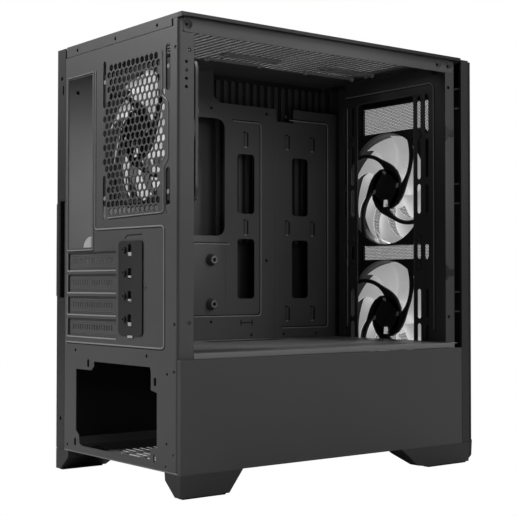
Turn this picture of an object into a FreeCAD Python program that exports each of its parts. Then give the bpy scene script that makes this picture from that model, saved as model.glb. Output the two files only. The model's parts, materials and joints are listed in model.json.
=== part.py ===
"""Desktop computer tower: an empty micro-ATX chassis with three 120 mm fans.

Chassis coordinates, in millimetres: X = 0 is the chassis wall on the window side and grows
towards the closed side panel, Y = 0 is the rear face and the front is negative, and Z = 0 is
the lower edge of the panels, with the feet below it. Every sub-part is drawn there and moved
by the three "origin" cells, so that the finished tower stands on Z = 0, centred on the axis.
"""
import FreeCAD
import Part
import math
import os
import re

from FreeCAD import Placement, Rotation, Vector

# ---------------------------------------------------------------- driving dimensions

DIMENSIONS = {
    # outer sizes
    "steel": 1.0,             # thickness of every steel sheet
    "panel_out": 209.5,       # outer face of the closed side panel
    "flare": 1.3,             # how far its finger pull stands out
    "cover_out": 5.2,         # window-side cover and bezel, outside the chassis wall
    "deck_under": 377.6,      # underside of the top panel's deck
    "rim_top": 381.0,         # top of the rim round the deck
    "wall_back": 332.4,       # inner face of the front wall, measured forwards
    "bezel_start": 333.8,     # where the front bezel begins
    "bevel_start": 342.0,     # where its sides turn inwards
    "front_face": 370.0,      # front of the bezel
    "bevel_inset": 27.5,      # how far each side has turned in at the front
    "foot_drop": 20.0,        # floor to the lower edge of the panels
    "screw_proud": 2.8,       # slot screws, behind the rear face
    # inner sheets
    "tray_face": 190.7,       # face of the motherboard tray
    "side_flange": 193.8,     # inner edge of the closed panel's rear flange
    "corner_flange": 16.0,    # depth of the rear panel's window-side flange
    "bend": 3.0,              # outer radius of its corner
    "shroud_top": 98.5,
    "cover_top": 93.65,
    "rail_low": 365.6,        # lower edge of the rail over the window
    "rail_hole_up": 372.4,
    # rear face
    "port_left": 142.4,       # port aperture
    "port_low": 189.9,
    "port_wide": 44.45,
    "port_tall": 158.75,
    "hex_pitch": 7.44,
    "hex_corner": 3.4,
    "hex_mid": 71.25,
    "hex_top": 349.9,
    "slot_top": 184.9,        # top of the first expansion slot
    "slot_pitch": 20.32,
    "slot_tall": 15.4,
    "slot_left": 99.0,
    "slot_right": 186.4,
    "slot_screw": 82.6,
    "bracket_tall": 18.4,
    # motherboard pattern
    "board_row": 338.9,
    "board_drop": 157.48,
    "board_low": 45.72,
    "board_column": 11.5,
    "board_step": 154.94,
    "board_last": 72.39,
    "boss_height": 6.35,
    "boss_hole": 1.6,
    # fans
    "fan_size": 120.0,
    "fan_deep": 25.0,
    "fan_holes": 105.0,
    "fan_bore": 58.5,
    "fan_hub": 20.0,
    "shaft_radius": 2.0,
    "shaft_gap": 0.05,
    "rear_fan_across": 67.6,
    "rear_fan_up": 285.9,
    "front_fan_across": 105.8,
    "upper_fan_up": 257.9,
    "lower_fan_up": 122.7,
    # top vents and filter
    "vent_pitch": 7.55,
    "vent_wide": 6.05,
    "vent_left": 45.0,
    "vent_right": 147.0,
    "vent_back": 47.6,
    "vent_count": 35,
    # front controls
    "bezel_top": 379.4,
    "bezel_wall": 2.5,
    "control_line": 353.0,
    "power_across": 62.0,
    "power_radius": 6.8,
    "reset_across": 146.0,
    "reset_radius": 2.8,
    "board_top": 367.6,
    "button_gap": 0.3,
}

doc = FreeCAD.newDocument("ComputerTower")
sheet = doc.addObject("Spreadsheet::Sheet", "dims")
for row, (alias, value) in enumerate(DIMENSIONS.items(), start=1):
    sheet.set(f"A{row}", alias)
    sheet.set(f"B{row}", str(value))
    sheet.setAlias(f"B{row}", alias)
sheet.set(f"A{row + 1}", "origin_across")
sheet.set(f"B{row + 1}", "=(cover_out - panel_out - flare) / 2")
sheet.setAlias(f"B{row + 1}", "origin_across")
sheet.set(f"A{row + 2}", "origin_along")
sheet.set(f"B{row + 2}", "=(front_face - screw_proud) / 2")
sheet.setAlias(f"B{row + 2}", "origin_along")
sheet.set(f"A{row + 3}", "origin_up")
sheet.set(f"B{row + 3}", "=foot_drop")
sheet.setAlias(f"B{row + 3}", "origin_up")
doc.recompute()

ALIASES = set(DIMENSIONS) | {"origin_across", "origin_along", "origin_up"}
D = {alias: float(getattr(sheet, alias)) for alias in ALIASES}
PIECES = []


# ---------------------------------------------------------------- building blocks

def bound(text):
    """An expression with each alias written as a reference to the sheet."""

    def reference(match):
        word = match.group()
        return "dims." + word if word in ALIASES else word

    return re.sub(r"[a-z][a-z_]+", reference, str(text))


def bind(obj, **properties):
    """Bind properties to expressions; X, Y and Z stand for the placement's base."""
    places = {"X": "Placement.Base.x", "Y": "Placement.Base.y", "Z": "Placement.Base.z"}
    for name, text in properties.items():
        obj.setExpression(places.get(name, name), bound(text))
    return obj


def block(name, across, along, up):
    """A box from (start, end) expressions on each axis."""
    box = doc.addObject("Part::Box", name)
    return bind(box, X=across[0], Y=along[0], Z=up[0],
                Length=f"({across[1]}) - ({across[0]})",
                Width=f"({along[1]}) - ({along[0]})",
                Height=f"({up[1]}) - ({up[0]})")


AXIS_TURN = {
    "X": Rotation(Vector(0, 1, 0), 90),
    "Y": Rotation(Vector(1, 0, 0), -90),
    "Z": Rotation(),
}


def rod(name, axis, radius, start, end, centre):
    """A cylinder along one axis, with its centre on the other two axes."""
    cylinder = doc.addObject("Part::Cylinder", name)
    cylinder.Placement = Placement(Vector(), AXIS_TURN[axis])
    places = dict(zip([letter for letter in "XYZ" if letter != axis], centre))
    places[axis] = start
    return bind(cylinder, Radius=radius, Height=f"({end}) - ({start})", **places)


def join(name, parts):
    fused = doc.addObject("Part::MultiFuse", name)
    fused.Shapes = parts
    return fused


def carve(name, base, tools):
    """The base less every tool."""
    cut = doc.addObject("Part::Cut", name)
    cut.Base = base
    cut.Tool = tools[0] if len(tools) == 1 else join(name + "_tools", tools)
    return cut


def overlap(name, first, second):
    common = doc.addObject("Part::MultiCommon", name)
    common.Shapes = [first, second]
    return common


def together(name, parts):
    """A group of separate solids that share one node."""
    group = doc.addObject("Part::Compound", name)
    group.Links = parts
    return group


PLANE_TURN = {
    "floor": Rotation(),                          # u along X, v along Y, drawn up
    "rear": Rotation(Vector(1, 0, 0), 90),        # u along X, v along Z, drawn forwards
    "side": Rotation(Vector(1, 1, 1), 120),       # u along Y, v along Z, drawn across
}
PLANE_LETTER = {"floor": "Z", "rear": "Y", "side": "X"}


def extrude(name, plane, start, depth, loops):
    """Closed loops drawn on a plane at a start position and drawn out by a depth."""
    sketch = doc.addObject("Sketcher::SketchObject", name + "_sketch")
    sketch.Placement = Placement(Vector(), PLANE_TURN[plane])
    bind(sketch, **{PLANE_LETTER[plane]: start})
    sketch.addGeometry([edge for loop in loops for edge in loop])
    solid = doc.addObject("Part::Extrusion", name)
    solid.Base = sketch
    solid.DirMode = "Normal"
    solid.FaceMakerClass = "Part::FaceMakerBullseye"
    solid.Solid = True
    return bind(solid, LengthFwd=depth)


def polygon(*points):
    corners = [Vector(u, v, 0) for u, v in points]
    return [Part.LineSegment(a, b) for a, b in zip(corners, corners[1:] + corners[:1])]


def circle(u, v, radius):
    return [Part.Circle(Vector(u, v, 0), Vector(0, 0, 1), radius)]


def rounded(u0, v0, u1, v1, radius):
    """A rectangle with rounded corners; a slot when the radius is half its width."""
    edges = []
    corners = [(u1 - radius, v1 - radius, 0), (u0 + radius, v1 - radius, 90),
               (u0 + radius, v0 + radius, 180), (u1 - radius, v0 + radius, 270)]
    arcs = []
    for u, v, turn in corners:
        round_edge = Part.Circle(Vector(u, v, 0), Vector(0, 0, 1), radius)
        arcs.append(Part.ArcOfCircle(round_edge, math.radians(turn), math.radians(turn + 90)))
    for arc, following in zip(arcs, arcs[1:] + arcs[:1]):
        edges.append(arc)
        if arc.EndPoint.distanceToPoint(following.StartPoint) > 1e-6:
            edges.append(Part.LineSegment(arc.EndPoint, following.StartPoint))
    return edges


def slot(u, v, wide, tall):
    """A slot with round ends, centred on a point."""
    return rounded(u - wide / 2, v - tall / 2, u + wide / 2, v + tall / 2, min(wide, tall) / 2 - 1e-9)


def hexagon(u, v, corner):
    turns = [math.radians(60 * i) for i in range(6)]
    return polygon(*[(u + corner * math.sin(turn), v + corner * math.cos(turn)) for turn in turns])


def whole(obj):
    """A lone box or cylinder keeps its own place inside a group that can be moved."""
    if obj.TypeId in ("Part::Box", "Part::Cylinder"):
        return together(obj.Name + "_piece", [obj])
    return obj


def piece(obj, node, at=("0", "0", "0")):
    """Name a finished sub-part and move it from chassis coordinates to the tower's own frame."""
    obj = whole(obj)
    obj.Label = node
    bind(obj, X=f"origin_across + ({at[0]})", Y=f"origin_along + ({at[1]})", Z=f"origin_up + ({at[2]})")
    PIECES.append(obj)


# ---------------------------------------------------------------- rear panel

HEX_ROWS = 21
WINDOW_HOLES = (123.9, 350.9)     # heights of the window panel's fixing holes


def hex_row(index):
    """One staggered row of hexagons; rows between the fan's corner slots are two holes wider."""
    height = D["hex_top"] - index * D["hex_pitch"] * math.sqrt(3) / 2
    count = 11 + index % 2 + (2 if abs(height - D["rear_fan_up"]) < 32 else 0)
    first = D["hex_mid"] - (count - 1) / 2 * D["hex_pitch"]
    return [hexagon(first + hole * D["hex_pitch"], height, D["hex_corner"]) for hole in range(count)]


def slot_middle(index):
    """Height of the middle of an expansion slot, counted from the top."""
    return D["slot_top"] - D["slot_tall"] / 2 - index * D["slot_pitch"]


def rear_openings():
    loops = []
    port_right = D["port_left"] + D["port_wide"]
    loops.append(rounded(D["port_left"], D["port_low"], port_right, D["port_low"] + D["port_tall"], 1))
    for side in (-1, 1):
        for end in (-1, 1):
            across = D["rear_fan_across"] + side * D["fan_holes"] / 2
            loops.append(slot(across, D["rear_fan_up"] + end * 51.8, 6.0 - side, 39.4))
    for index in range(4):
        middle = slot_middle(index)
        half = D["slot_tall"] / 2
        loops.append(rounded(D["slot_left"], middle - half, D["slot_right"], middle + half, 1))
    loops.append(rounded(68, 114, 91, 192, 3))
    loops.append(polygon((137.5, 85.8), (42, 85.8), (40.6, 81.5), (40.6, 66.5), (31, 64.8), (31, 19.5),
                         (41, 17.4), (41.8, 7), (158, 7), (163.5, 8.5), (165.4, 16.3), (171, 20.5),
                         (171, 77.6), (142.5, 77.6), (137.5, 81.9)))
    for across, up in ((172.2, 9.8), (34.2, 9.8), (34.2, 73.8), (148.2, 83.8)):
        loops.append(slot(across, up, 3.8, 7.6))
    for across, up, radius in ((3.8, 352.3, 1.6), (4.4, 123.0, 1.6), (48.8, 152.7, 1.5), (172.2, 94.9, 1.6),
                               (47.6, 94.9, 1.6), (15.3, 81.4, 1.3), (5.0, 83.8, 1.3), (15.9, 23.6, 1.3),
                               (5.5, 15.1, 1.3), (17.0, 4.8, 1.3), (187.5, 6.1, 1.3)):
        loops.append(circle(across, up, radius))
    return loops


def rear_panel():
    flange_end = "side_flange - 0.4"
    outer = doc.addObject("Part::Cylinder", "rear_bend_outer")
    inner = doc.addObject("Part::Cylinder", "rear_bend_inner")
    for cylinder, radius in ((outer, "bend"), (inner, "bend - steel")):
        cylinder.Placement = Placement(Vector(), Rotation(Vector(0, 0, 1), 90))
        bind(cylinder, Radius=radius, Height="deck_under - 2", Angle=90, X="bend", Y="-bend", Z="steel")
    parts = [
        block("rear_sheet", ("bend", flange_end), ("-steel", "0"), ("steel", "370.6")),
        block("rear_corner_top", ("bend", "7.2"), ("-steel", "0"), ("370.6", "deck_under - 1")),
        carve("rear_bend", outer, [inner]),
        block("rear_flange", ("0", "steel"), ("-corner_flange", "-bend"), ("steel", "rail_low - 0.4")),
        block("rear_flange_top", ("0", "steel"), ("-4.6", "-bend"), ("rail_low - 0.4", "deck_under - 1")),
        block("rear_step", ("10", "191"), ("-2.2", "-steel"), ("369.4", "370.6")),
        block("rear_tongue", ("10", "191"), ("-2.2", "-1.2"), ("370.6", "deck_under - 0.2")),
        block("far_step", (f"{flange_end} - steel", flange_end), ("-2.6", "-steel"), ("steel", "369")),
        block("far_tongue", (flange_end, "206"), ("-2.6", "-1.6"), ("steel", "369")),
    ]
    tools = [
        extrude("rear_holes", "rear", "1", "3", rear_openings()),
        block("grip_room", ("side_flange - 0.6", "207"), ("-4", "1"), ("139", "240")),
        extrude("flange_holes", "side", "-1", "3",
                [circle(-11.3, up, 1.8) for up in WINDOW_HOLES]
                + [circle(-8.3, 319.8 + 7.0 * i, 1.4) for i in range(4)]),
        rod("panel_hole_high", "Y", "1.8", "-5", "1", ("201", "352.6")),
        rod("panel_hole_low", "Y", "1.8", "-5", "1", ("201", "29")),
    ]
    tools += [extrude(f"hex_row_{index}", "rear", "1", "3", hex_row(index)) for index in range(HEX_ROWS)]
    piece(carve("rear_panel_cut", join("rear_panel_solid", parts), tools), "rear_panel")


def slot_covers():
    """Blanking brackets behind the expansion slots, each with a row of vents and a screw tab."""
    for index in range(4):
        middle = f"(slot_top - slot_tall / 2 - {index} * slot_pitch)"
        plate = block(f"bracket_{index}", ("slot_left - 5", "slot_right + 2.4"), ("-2.2", "-1.2"),
                      (f"{middle} - bracket_tall / 2", f"{middle} + bracket_tall / 2"))
        tab = block(f"bracket_tab_{index}", ("70", "slot_left - 5.6"), ("-2.2", "-1.2"),
                    (f"{middle} - 3", f"{middle} + bracket_tall / 2 + 5"))
        neck = block(f"bracket_neck_{index}", ("slot_left - 6", "slot_left - 4"), ("-2.2", "-1.2"),
                     (f"{middle} - 3", f"{middle} + bracket_tall / 2"))
        vents = [slot(108 + 4.4 * i, slot_middle(index) + 0.5, 1.9, 5.2) for i in range(17)]
        tools = [
            extrude(f"bracket_vents_{index}", "rear", "0", "3", vents),
            rod(f"bracket_hole_{index}", "Y", "1.6", "-4", "1",
                ("slot_screw", f"{middle} + bracket_tall / 2")),
        ]
        piece(carve(f"bracket_cut_{index}", join(f"bracket_solid_{index}", [plate, tab, neck]), tools),
              f"slot_cover_{index + 1}")
    screw_heights = [slot_middle(index) + D["bracket_tall"] / 2 for index in range(4)]
    windows = [rounded(71, up - 5.5, 76.6, up + 4.5, 0.8) for up in screw_heights]
    holes = [circle(D["slot_screw"], up, 1.8) for up in screw_heights]
    plate = extrude("slot_plate", "rear", "1.2", "1.2", [rounded(53.4, 111.6, 92.9, 194.3, 4)])
    piece(carve("slot_plate_cut", plate, [extrude("slot_plate_holes", "rear", "2", "3", windows + holes)]),
          "slot_screw_plate")
    screws = []
    for index in range(4):
        up = f"slot_top - slot_tall / 2 - {index} * slot_pitch + bracket_tall / 2"
        head = rod(f"slot_screw_head_{index}", "Y", "2.9", "1.2", "screw_proud", ("slot_screw", up))
        shank = rod(f"slot_screw_shank_{index}", "Y", "1.5", "-6", "1.2", ("slot_screw", up))
        recess = rod(f"slot_screw_recess_{index}", "Y", "1.2", "2.0", "4", ("slot_screw", up))
        solid = join(f"slot_screw_solid_{index}", [head, shank])
        screws.append(carve(f"slot_screw_{index}", solid, [recess]))
    piece(together("slot_screw_group", screws), "slot_screws")


# ---------------------------------------------------------------- tray, floor, shroud

def tray_openings():
    loops = [rounded(-184, 206.5, -70, 328.5, 10)]
    for back in (-200.3, -273.9):
        for low in (141, 230.8):
            loops.append(rounded(back - 22.4, low, back, low + 63, 4))
    loops.append(polygon((-350, 347), (-350, 385), (-169.4, 385), (-169.4, 352), (-178, 345.5),
                         (-252.2, 345.5),
                         (-252.2, 332), (-276, 332), (-276, 347)))
    for along, up in ((-166.6, 117.2), (-265.4, 338.2), (-338.5, 223.3), (-338.5, 105.3), (-218.5, 102.4),
                      (-262.3, 102.4), (-308.4, 102.4)):
        loops.append(circle(along, up, 1.5))
    return loops


def motherboard_tray():
    """The upright tray: stamped bosses under the board's lower rows, plain holes for standoffs above."""
    parts = [block("tray_sheet", ("tray_face", "tray_face + steel"), ("-342.2", "-2.9"),
                   ("shroud_top + 0.2", "deck_under - 0.2"))]
    holes = []
    columns = ("-board_column", "-board_column - board_step", "-board_column - board_step - board_last")
    lines = ("board_row", "board_row - board_drop", "board_row - board_drop - board_low")
    for column, along in enumerate(columns):
        for line, up in enumerate(lines):
            if (column, line) == (2, 2):
                continue
            if line > 0 and column < 2:
                boss = doc.addObject("Part::Cone", f"boss_{column}_{line}")
                boss.Placement = Placement(Vector(), Rotation(Vector(0, 1, 0), -90))
                bind(boss, Radius1=6.5, Radius2=4.2, Height="boss_height", X="tray_face", Y=along, Z=up)
                parts.append(boss)
            holes.append(rod(f"boss_hole_{column}_{line}", "X", "boss_hole", "tray_face - boss_height - 1",
                             "tray_face + 2", (along, up)))
    tools = [extrude("tray_holes", "side", "tray_face - 1", "4", tray_openings())] + holes
    piece(carve("tray_cut", join("tray_solid", parts), tools), "motherboard_tray")


def bottom_panel():
    parts = [
        block("floor_sheet", ("0", "panel_out - 2"), ("-bezel_start + 0.4", "-steel - 0.4"), ("0", "steel")),
        block("floor_lip", ("0", "side_flange - 0.4"), ("-2", "0"), ("0", "steel")),
        block("floor_flange", ("panel_out - 3", "panel_out - 2"), ("-bezel_start + 1.5", "-3"),
              ("steel", "9")),
    ]
    loops = []
    for column in range(4):
        for row in range(17):
            loops.append(slot(54 + 31 * column, -30 - 7.55 * row, 26, 4.6))
    tools = [extrude("floor_vents", "floor", "-1", "3", loops)]
    piece(carve("floor_cut", join("floor_solid", parts), tools), "bottom_panel")
    pads = []
    for across in (36, 164):
        for along in (-18, -158):
            pads.append(block(f"psu_pad_{across}_{-along}", (across - 6, across + 6), (along - 5, along + 5),
                              ("steel", "steel + 3")))
    piece(together("psu_pad_group", pads), "psu_support_pads")


def psu_shroud():
    parts = [
        block("shroud_sheet", ("steel", "tray_face"), ("-wall_back + 0.2", "-2.9"),
              ("shroud_top - steel", "shroud_top")),
        block("shroud_edge", ("0", "steel"), ("-327", "-corner_flange - 0.4"),
              ("cover_top + 0.2", "shroud_top")),
    ]
    vents = [slot(31, -24 - D["vent_pitch"] * row, 38, 4.8) for row in range(35)]
    cable = [rounded(156, -240, 186, -142, 5)]
    tools = [extrude("shroud_vents", "floor", "shroud_top - 3", "5", vents + cable)]
    piece(carve("shroud_cut", join("shroud_solid", parts), tools), "psu_shroud_top")
    piece(block("shroud_wall", ("0", "steel"), ("-326", "-corner_flange - 0.4"), ("steel", "cover_top")),
          "shroud_side_wall")
    shell = [
        block("cover_sheet", ("-cover_out", "-cover_out + steel"), ("-331.6", "0"), ("0", "cover_top")),
        block("cover_lip_top", ("-cover_out", "0"), ("-331.6", "0"), ("cover_top - steel", "cover_top")),
        block("cover_lip_low", ("-cover_out", "0"), ("-331.6", "0"), ("0", "steel")),
        block("cover_lip_rear", ("-cover_out", "0"), ("-steel", "0"), ("0", "cover_top")),
        block("cover_lip_front", ("-cover_out", "0"), ("-331.6", "-330.6"), ("0", "cover_top")),
    ]
    piece(join("shroud_cover", shell), "shroud_side_cover")


# ---------------------------------------------------------------- top panel and filter

RAIL_HOLES = (9.9, 305.6, 320.5)     # places of the dimpled holes along the rail


def cone(name, radius, end_radius, start, end, centre):
    """A cone along X, narrowing inwards."""
    taper = doc.addObject("Part::Cone", name)
    taper.Placement = Placement(Vector(), AXIS_TURN["X"])
    return bind(taper, Radius1=radius, Radius2=end_radius, Height=f"({end}) - ({start})",
                X=start, Y=centre[0], Z=centre[1])


def top_panel():
    """A sunken deck inside a rim, with a rear flange and a rail over the window."""
    front = "-bezel_start + 0.4"
    hem = "-bezel_start + 2.2"
    parts = [
        block("deck", ("0", "panel_out - 2"), (front, "-steel"), ("deck_under", "deck_under + steel")),
        block("rim_window", ("-cover_out", "2"), (hem, "0"), ("378", "rim_top")),
        block("rim_far", ("panel_out - 8", "panel_out - 2"), (front, "-1.4"), ("deck_under", "rim_top")),
        block("rim_rear", ("-cover_out", "191.6"), ("-6", "0"), ("deck_under", "rim_top")),
        block("rim_front", ("0", "panel_out - 2"), (front, "-327.4"), ("deck_under", "rim_top")),
        block("rear_lip", ("9.7", "191.6"), ("-steel", "0"), ("371", "deck_under")),
        block("rear_lip_corner", ("-cover_out", "9.7"), ("-steel", "0"), ("376.9", "deck_under")),
        extrude("rail", "side", "0", "steel", [rounded(-320, D["rail_low"], -5, D["deck_under"] + 0.5, 2.4)]),
        block("rail_front", ("0", "steel"), ("-325.9", "-316"), ("rail_low", "deck_under + 0.5")),
    ]
    parts += [cone(f"dimple_{int(along)}", 5.2, 3.2, 0.2, 2.6, (f"-{along}", "rail_hole_up"))
              for along in RAIL_HOLES]
    loops = []
    for row in range(int(D["vent_count"])):
        along = -D["vent_back"] - D["vent_pitch"] * row
        loops.append(rounded(D["vent_left"], along - D["vent_wide"], D["vent_right"], along, 1.5))
    tools = [extrude("deck_vents", "floor", "deck_under - 1", "5", loops)]
    tools += [rod(f"lip_hole_{int(across)}", "Y", "1.6", "-2", "1", (across, "375.4"))
              for across in (32.3, 101.6, 171)]
    for along in RAIL_HOLES:
        centre = (f"-{along}", "rail_hole_up")
        tools.append(cone(f"dimple_room_{int(along)}", 4.4, 2.4, -0.01, 1.8, centre))
        tools.append(rod(f"rail_hole_{int(along)}", "X", "1.6", "-1", "4", centre))
    piece(carve("top_cut", join("top_solid", parts), tools), "top_panel")


def top_filter():
    """A magnetic dust filter lying on the deck: a soft frame round a fine mesh."""
    level = "deck_under + steel + 0.1"
    ring = block("filter_ring", ("20", "187"), ("-324", "-36"), (level, "rim_top - 0.4"))
    room = block("filter_room", ("28", "179"), ("-316", "-44"), (f"{level} - 1", "rim_top"))
    piece(carve("filter_frame", ring, [room]), "top_filter_frame")
    piece(block("filter_mesh", ("28", "179"), ("-316", "-44"), (f"{level} + 0.4", f"{level} + 1")),
          "top_filter_mesh")


# ---------------------------------------------------------------- front frame

def front_openings():
    loops = [rounded(62, 64, 149.5, 353, 5)]
    middle = (D["upper_fan_up"] + D["lower_fan_up"]) / 2
    columns = (
        (51.2, ((126.8, 160.8), (74.1, 115.3), (38.8, 69.4))),
        (62.4, ((121.7, 161.6), (75.5, 115.3), (38.8, 68.2))),
    )
    for offset, spans in columns:
        for side in (-1, 1):
            across = D["front_fan_across"] + side * offset
            loops.append(slot(across, middle, 5.4, 17))
            for low, high in spans:
                for end in (-1, 1):
                    loops.append(slot(across, middle + end * (low + high) / 2, 5.4, high - low))
    for centre in (D["upper_fan_up"], D["lower_fan_up"]):
        for side in (-1, 1):
            for end in (-1, 1):
                reach = D["fan_holes"] / 2
                loops.append(circle(D["front_fan_across"] + side * reach, centre + end * reach, 2.2))
    for across in (32, 172):
        for up in (9, 372):
            loops.append(circle(across, up, 3))
    return loops


def front_frame():
    """The inner front wall, its window-side post and the joggled strip beyond the tray."""
    back, face = "-wall_back", "-wall_back - steel"
    joggle = "-wall_back - 11"
    top = "deck_under - 0.4"
    parts = [
        block("wall", ("11", "178.8"), (face, back), ("steel", top)),
        block("post_step", ("11", "12"), (back, "-326"), ("shroud_top + 0.3", top)),
        block("post_front", ("0", "12"), ("-327", "-326"), ("shroud_top + 0.3", top)),
        block("post_side", ("0", "steel"), ("-327", "-315"), ("shroud_top + 0.3", "rail_low - 0.2")),
        block("far_return", ("178.8", "179.8"), (joggle, back), ("3.4", "376")),
        block("far_strip", ("178.8", "204.5"), (joggle, "-wall_back - 10"), ("3.4", "376")),
        block("wall_flange", ("12", "178"), (back, "-322"), (f"{top} - steel", top)),
        block("wall_foot", ("12", "178"), (back, "-318"), ("steel", "2 * steel")),
    ]
    tools = [
        extrude("wall_holes", "rear", f"{back} + 1", "4", front_openings()),
    ]
    tools += [rod(f"post_hole_{int(up)}", "X", "1.8", "-1", "3", ("-319.2", up)) for up in WINDOW_HOLES]
    piece(carve("front_cut", join("front_solid", parts), tools), "front_frame")
    clips = []
    for up in (305.8, 168.0):
        outline = polygon((-325, up - 2.8), (-318, up - 2.8), (-315.6, up - 7.5), (-313.4, up - 6.5),
                          (-313.4, up + 6.5), (-315.6, up + 7.5), (-318, up + 2.8), (-325, up + 2.8))
        clips.append(extrude(f"clip_{int(up)}", "side", "-1.6", "1.6", [outline]))
    piece(together("clip_group", clips), "window_panel_clips")


# ---------------------------------------------------------------- front bezel and controls

def frustum(name, inset_wall, far_face):
    """The bevelled front of the bezel, or its cavity when the walls are set in."""
    wedge = doc.addObject("Part::Wedge", name)
    inset = f"bevel_inset + {inset_wall} * 0.65"
    bind(wedge, X="-cover_out", Y="-front_face", Z="0",
         Xmin=inset, Xmax=f"panel_out + cover_out - ({inset})",
         Zmin=f"0.4 + {inset_wall}", Zmax=f"bezel_top - {inset_wall}",
         X2min=inset_wall, X2max=f"panel_out + cover_out - {inset_wall}",
         Z2min=f"0.4 + {inset_wall}", Z2max=f"bezel_top - {inset_wall}",
         Ymin=far_face, Ymax="front_face - bevel_start")
    return wedge


def front_bezel():
    wall = "bezel_wall"
    upright = ("0.4", "bezel_top")
    ring = block("bezel_ring", ("-cover_out", "panel_out"), ("-bevel_start", "-bezel_start"), upright)
    side = block("bezel_side", ("-cover_out", "-cover_out + bezel_wall"), ("-bezel_start", "-332"), upright)
    flange = block("bezel_flange", ("-cover_out + 1", "18"), ("-bevel_start - 4", "-bevel_start - 2"),
                   ("2", "bezel_top - 1"))
    shell = join("bezel_outer", [ring, frustum("bezel_bevel", "0", "0")])
    cavity = join("bezel_cavity", [
        block("cavity_ring", ("-cover_out + bezel_wall", "panel_out - bezel_wall"),
              ("-bevel_start", "-bezel_start + 1"), ("0.4 + bezel_wall", "bezel_top - bezel_wall")),
        frustum("cavity_bevel", wall, wall),
    ])
    hollow = carve("bezel_hollow", shell, [cavity])
    ribs = []
    for across in (32, 172):
        for up, low, high in ((372, 367, 378), (9, 2, 14)):
            ribs.append(block(f"rib_{across}_{up}", (across - 4, across + 4), (-366, "-bezel_start - 0.3"),
                              (low, high)))
            ribs.append(rod(f"pin_{across}_{up}", "Y", "2.4", "-bezel_start - 1", "-326", (across, up)))
    for across in (49, 159):
        ribs.append(block(f"post_{across}", (across - 2.5, across + 2.5), (-356, -350), ("board_top", 378)))
    solid = join("bezel_solid", [hollow, side, flange] + ribs)
    line = "-control_line"
    tools = [
        block("mesh_window", ("26.3", "panel_out - cover_out - 26.3"), ("-front_face - 1", "-front_face + 5"),
              ("28", "353")),
        rod("power_hole", "Z", "power_radius + button_gap", 376, 382, ("power_across", line)),
        rod("reset_hole", "Z", "reset_radius + button_gap", 376, 382, ("reset_across", line)),
        rod("jack_hole", "Z", 3.5, 376, 382, (128, line)),
        rod("light_hole", "Z", 1.6, 376, 382, (76, line)),
    ]
    tools += [block(f"port_hole_{across}", (across - 7.4, across + 7.4),
                    (f"{line} - 3.7", f"{line} + 3.7"), (376, 382))
              for across in (92, 110)]
    piece(carve("bezel_cut", solid, tools), "front_bezel")


MESH_COLUMNS = 9
MESH_ROWS = 16


def front_mesh():
    """The mesh behind the bezel's window, drawn as a coarse grid: crossbars lie on uprights in a frame."""
    face = "-front_face + bezel_wall + 0.1"
    left, right, low, high = 28.2, 176.1, 31.0, 350.5
    depth, outer, inner = (face, f"{face} + 1"), (face, f"{face} + 0.5"), (f"{face} + 0.5", f"{face} + 1")
    bars = [
        block("mesh_left", ("24.9", left), depth, ("24", "357")),
        block("mesh_right", (right, "panel_out - cover_out - 24.9"), depth, ("24", "357")),
        block("mesh_low", (left, right), depth, ("24", low)),
        block("mesh_high", (left, right), depth, (high, "357")),
    ]
    for column in range(1, MESH_COLUMNS):
        across = left + (right - left) * column / MESH_COLUMNS
        bars.append(block(f"mesh_upright_{column}", (across - 0.75, across + 0.75), outer, (low, high)))
    for row in range(1, MESH_ROWS):
        up = low + (high - low) * row / MESH_ROWS
        bars.append(block(f"mesh_crossbar_{row}", (left, right), inner, (up - 0.75, up + 0.75)))
    piece(together("mesh_grid", bars), "front_mesh")


def controls():
    """The control board under the bezel's top wall, with its buttons, light and sockets."""
    line = "-control_line"
    piece(block("board", (48, 160), (-363, -344), ("board_top - 1.6", "board_top")), "control_board")
    switches = []
    for name in ("power", "reset"):
        radius, across = f"{name}_radius", f"{name}_across"
        switches.append(block(f"{name}_switch", (f"{across} - 3", f"{across} + 3"),
                              (f"{line} - 3", f"{line} + 3"), ("board_top", "board_top + 1.2")))
        parts = [
            rod(f"{name}_cap", "Z", radius, 374, 380.8, (across, line)),
            rod(f"{name}_collar", "Z", f"{radius} + 1.6", 374, 375.4, (across, line)),
            rod(f"{name}_stem", "Z", 1.8, "board_top + 3", 374, (across, line)),
        ]
        piece(join(f"{name}_button_solid", parts), f"{name}_button")
    piece(together("switch_group", switches), "control_switches")
    shells, tongues = [], []
    for across in (92, 110):
        outer = block(f"socket_outer_{across}", (across - 7.2, across + 7.2),
                      (f"{line} - 3.5", f"{line} + 3.5"), ("board_top", "bezel_top"))
        inner = block(f"socket_inner_{across}", (across - 6.4, across + 6.4),
                      (f"{line} - 2.7", f"{line} + 2.7"), ("board_top + 0.8", 382))
        shells.append(carve(f"socket_{across}", outer, [inner]))
        tongues.append(block(f"tongue_{across}", (across - 5.5, across + 5.5),
                             (f"{line} - 2.2", f"{line} - 0.4"), ("board_top + 0.8", "bezel_top - 1.5")))
    piece(together("socket_group", shells), "usb_sockets")
    piece(together("tongue_group", tongues), "usb_tongues")
    barrel = rod("jack_barrel", "Z", 3.2, "board_top", "bezel_top", (128, line))
    bore = rod("jack_bore", "Z", 1.8, "board_top + 1", 382, (128, line))
    piece(carve("jack", barrel, [bore]), "audio_socket")
    piece(rod("light", "Z", 1.5, "board_top", "bezel_top", (76, line)), "power_light")


# ---------------------------------------------------------------- closed side panel

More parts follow.
